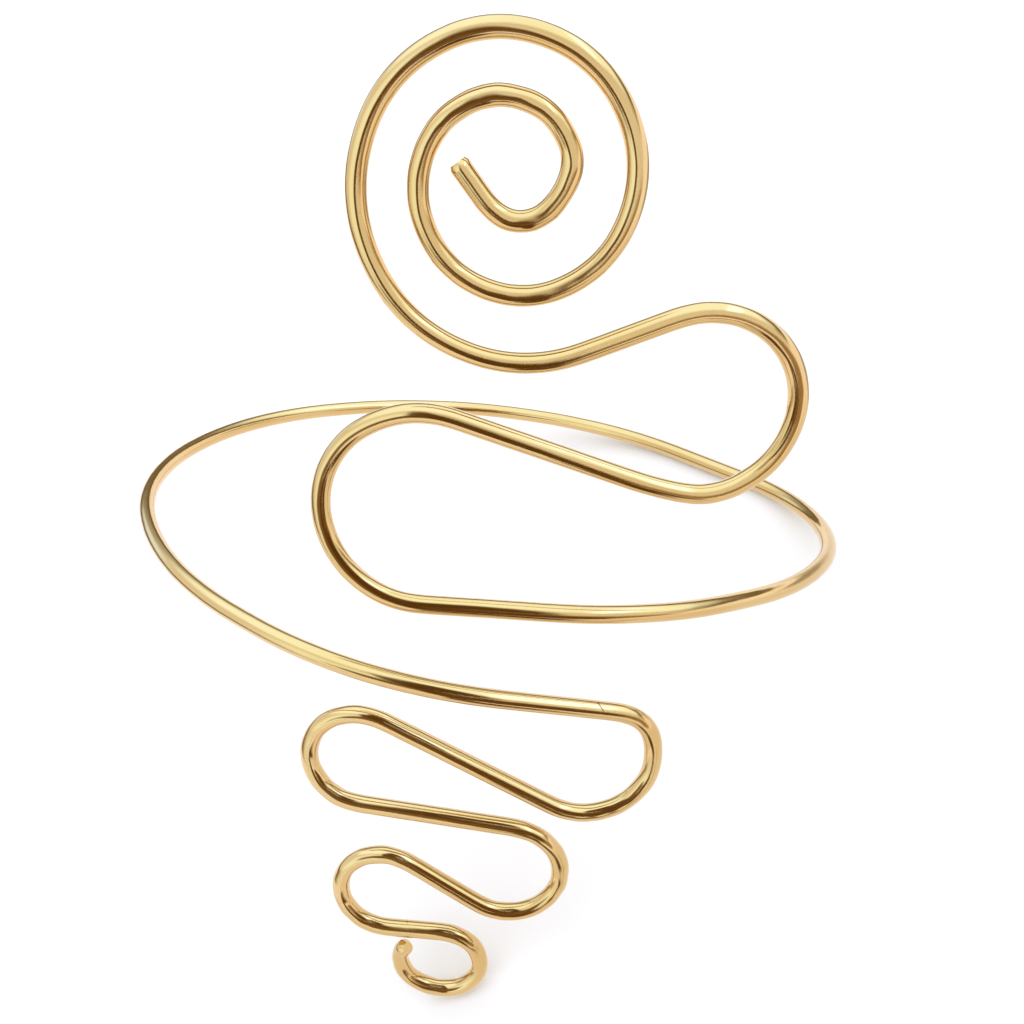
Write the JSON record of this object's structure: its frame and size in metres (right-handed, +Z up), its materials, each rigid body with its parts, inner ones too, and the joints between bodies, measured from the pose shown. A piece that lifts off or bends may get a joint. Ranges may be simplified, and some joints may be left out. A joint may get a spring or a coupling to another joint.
{
  "type": "wire arm cuff",
  "caption": "Arm cuff of round gold-coloured wire: an open ring round the upper arm, with a flat scroll and wavy bends above the ring and a narrowing zigzag with a small curl below it.",
  "frame": {"origin": "on the floor, below the middle of the cuff's bounding box as it rests", "axes": "+Z up from the floor, -Y the way the panel of bends faces, +X to the right of someone who looks at that panel, where the scroll is"},
  "size_m": [0.0812, 0.0878, 0.0869],
  "materials": {
    "gold_wire": "polished"
  },
  "bodies": {
    "root": {"cuff_wire": "gold_wire"}
  },
  "joints": []
}
